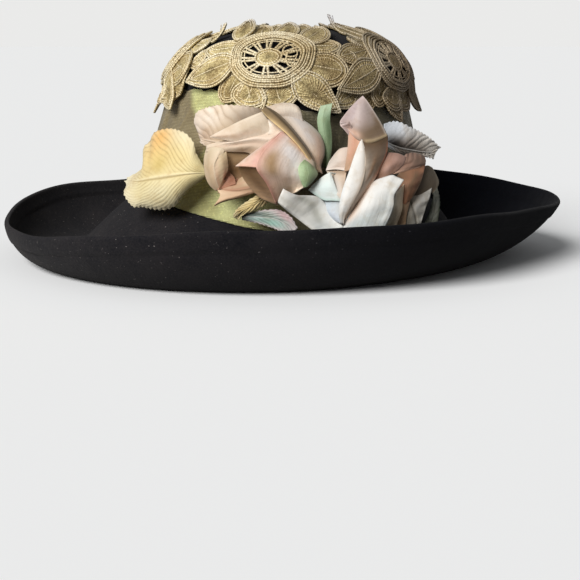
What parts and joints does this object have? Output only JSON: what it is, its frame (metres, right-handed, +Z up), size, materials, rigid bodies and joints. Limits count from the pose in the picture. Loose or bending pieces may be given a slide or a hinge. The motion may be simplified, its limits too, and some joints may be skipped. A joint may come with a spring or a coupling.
{
  "type": "wool felt hat with flowers",
  "caption": "Blocked felt hat with a domed crown and a rolled brim, wound with cloth and lace and trimmed at the front with silk roses; worn on the head.",
  "frame": {"origin": "on the table under the middle of the brim", "axes": "+Z up through the crown, +X towards the wearer's left, so that the front with the flowers faces -Y"},
  "size_m": [0.3664, 0.3532, 0.148],
  "materials": {
    "felt": "matt charcoal wool felt",
    "lame": "woven metallic cloth, olive gold",
    "lace": "gold guipure lace",
    "silk_peach": "stiffened silk, peach and ivory",
    "silk_white": "stiffened silk, white with mauve and orange tints",
    "leaf_gold": "embossed cloth, pale gold",
    "leaf_ivory": "embossed cloth, ivory",
    "leaf_teal": "embossed cloth, grey green and pink",
    "leaf_green": "embossed cloth, green"
  },
  "bodies": {
    "root": {"felt_hood": "felt", "cloth_band": "lame", "lace_trim": "lace", "rose_left": "silk_peach", "rose_right": "silk_white", "leaf_gold": "leaf_gold", "leaf_ivory": "leaf_ivory", "leaf_small_gold": "leaf_gold", "leaf_teal": "leaf_teal", "leaf_strap": "leaf_green", "leaf_bud": "leaf_green", "leaf_ruffled": "leaf_ivory", "leaf_green": "leaf_green"}
  },
  "joints": []
}
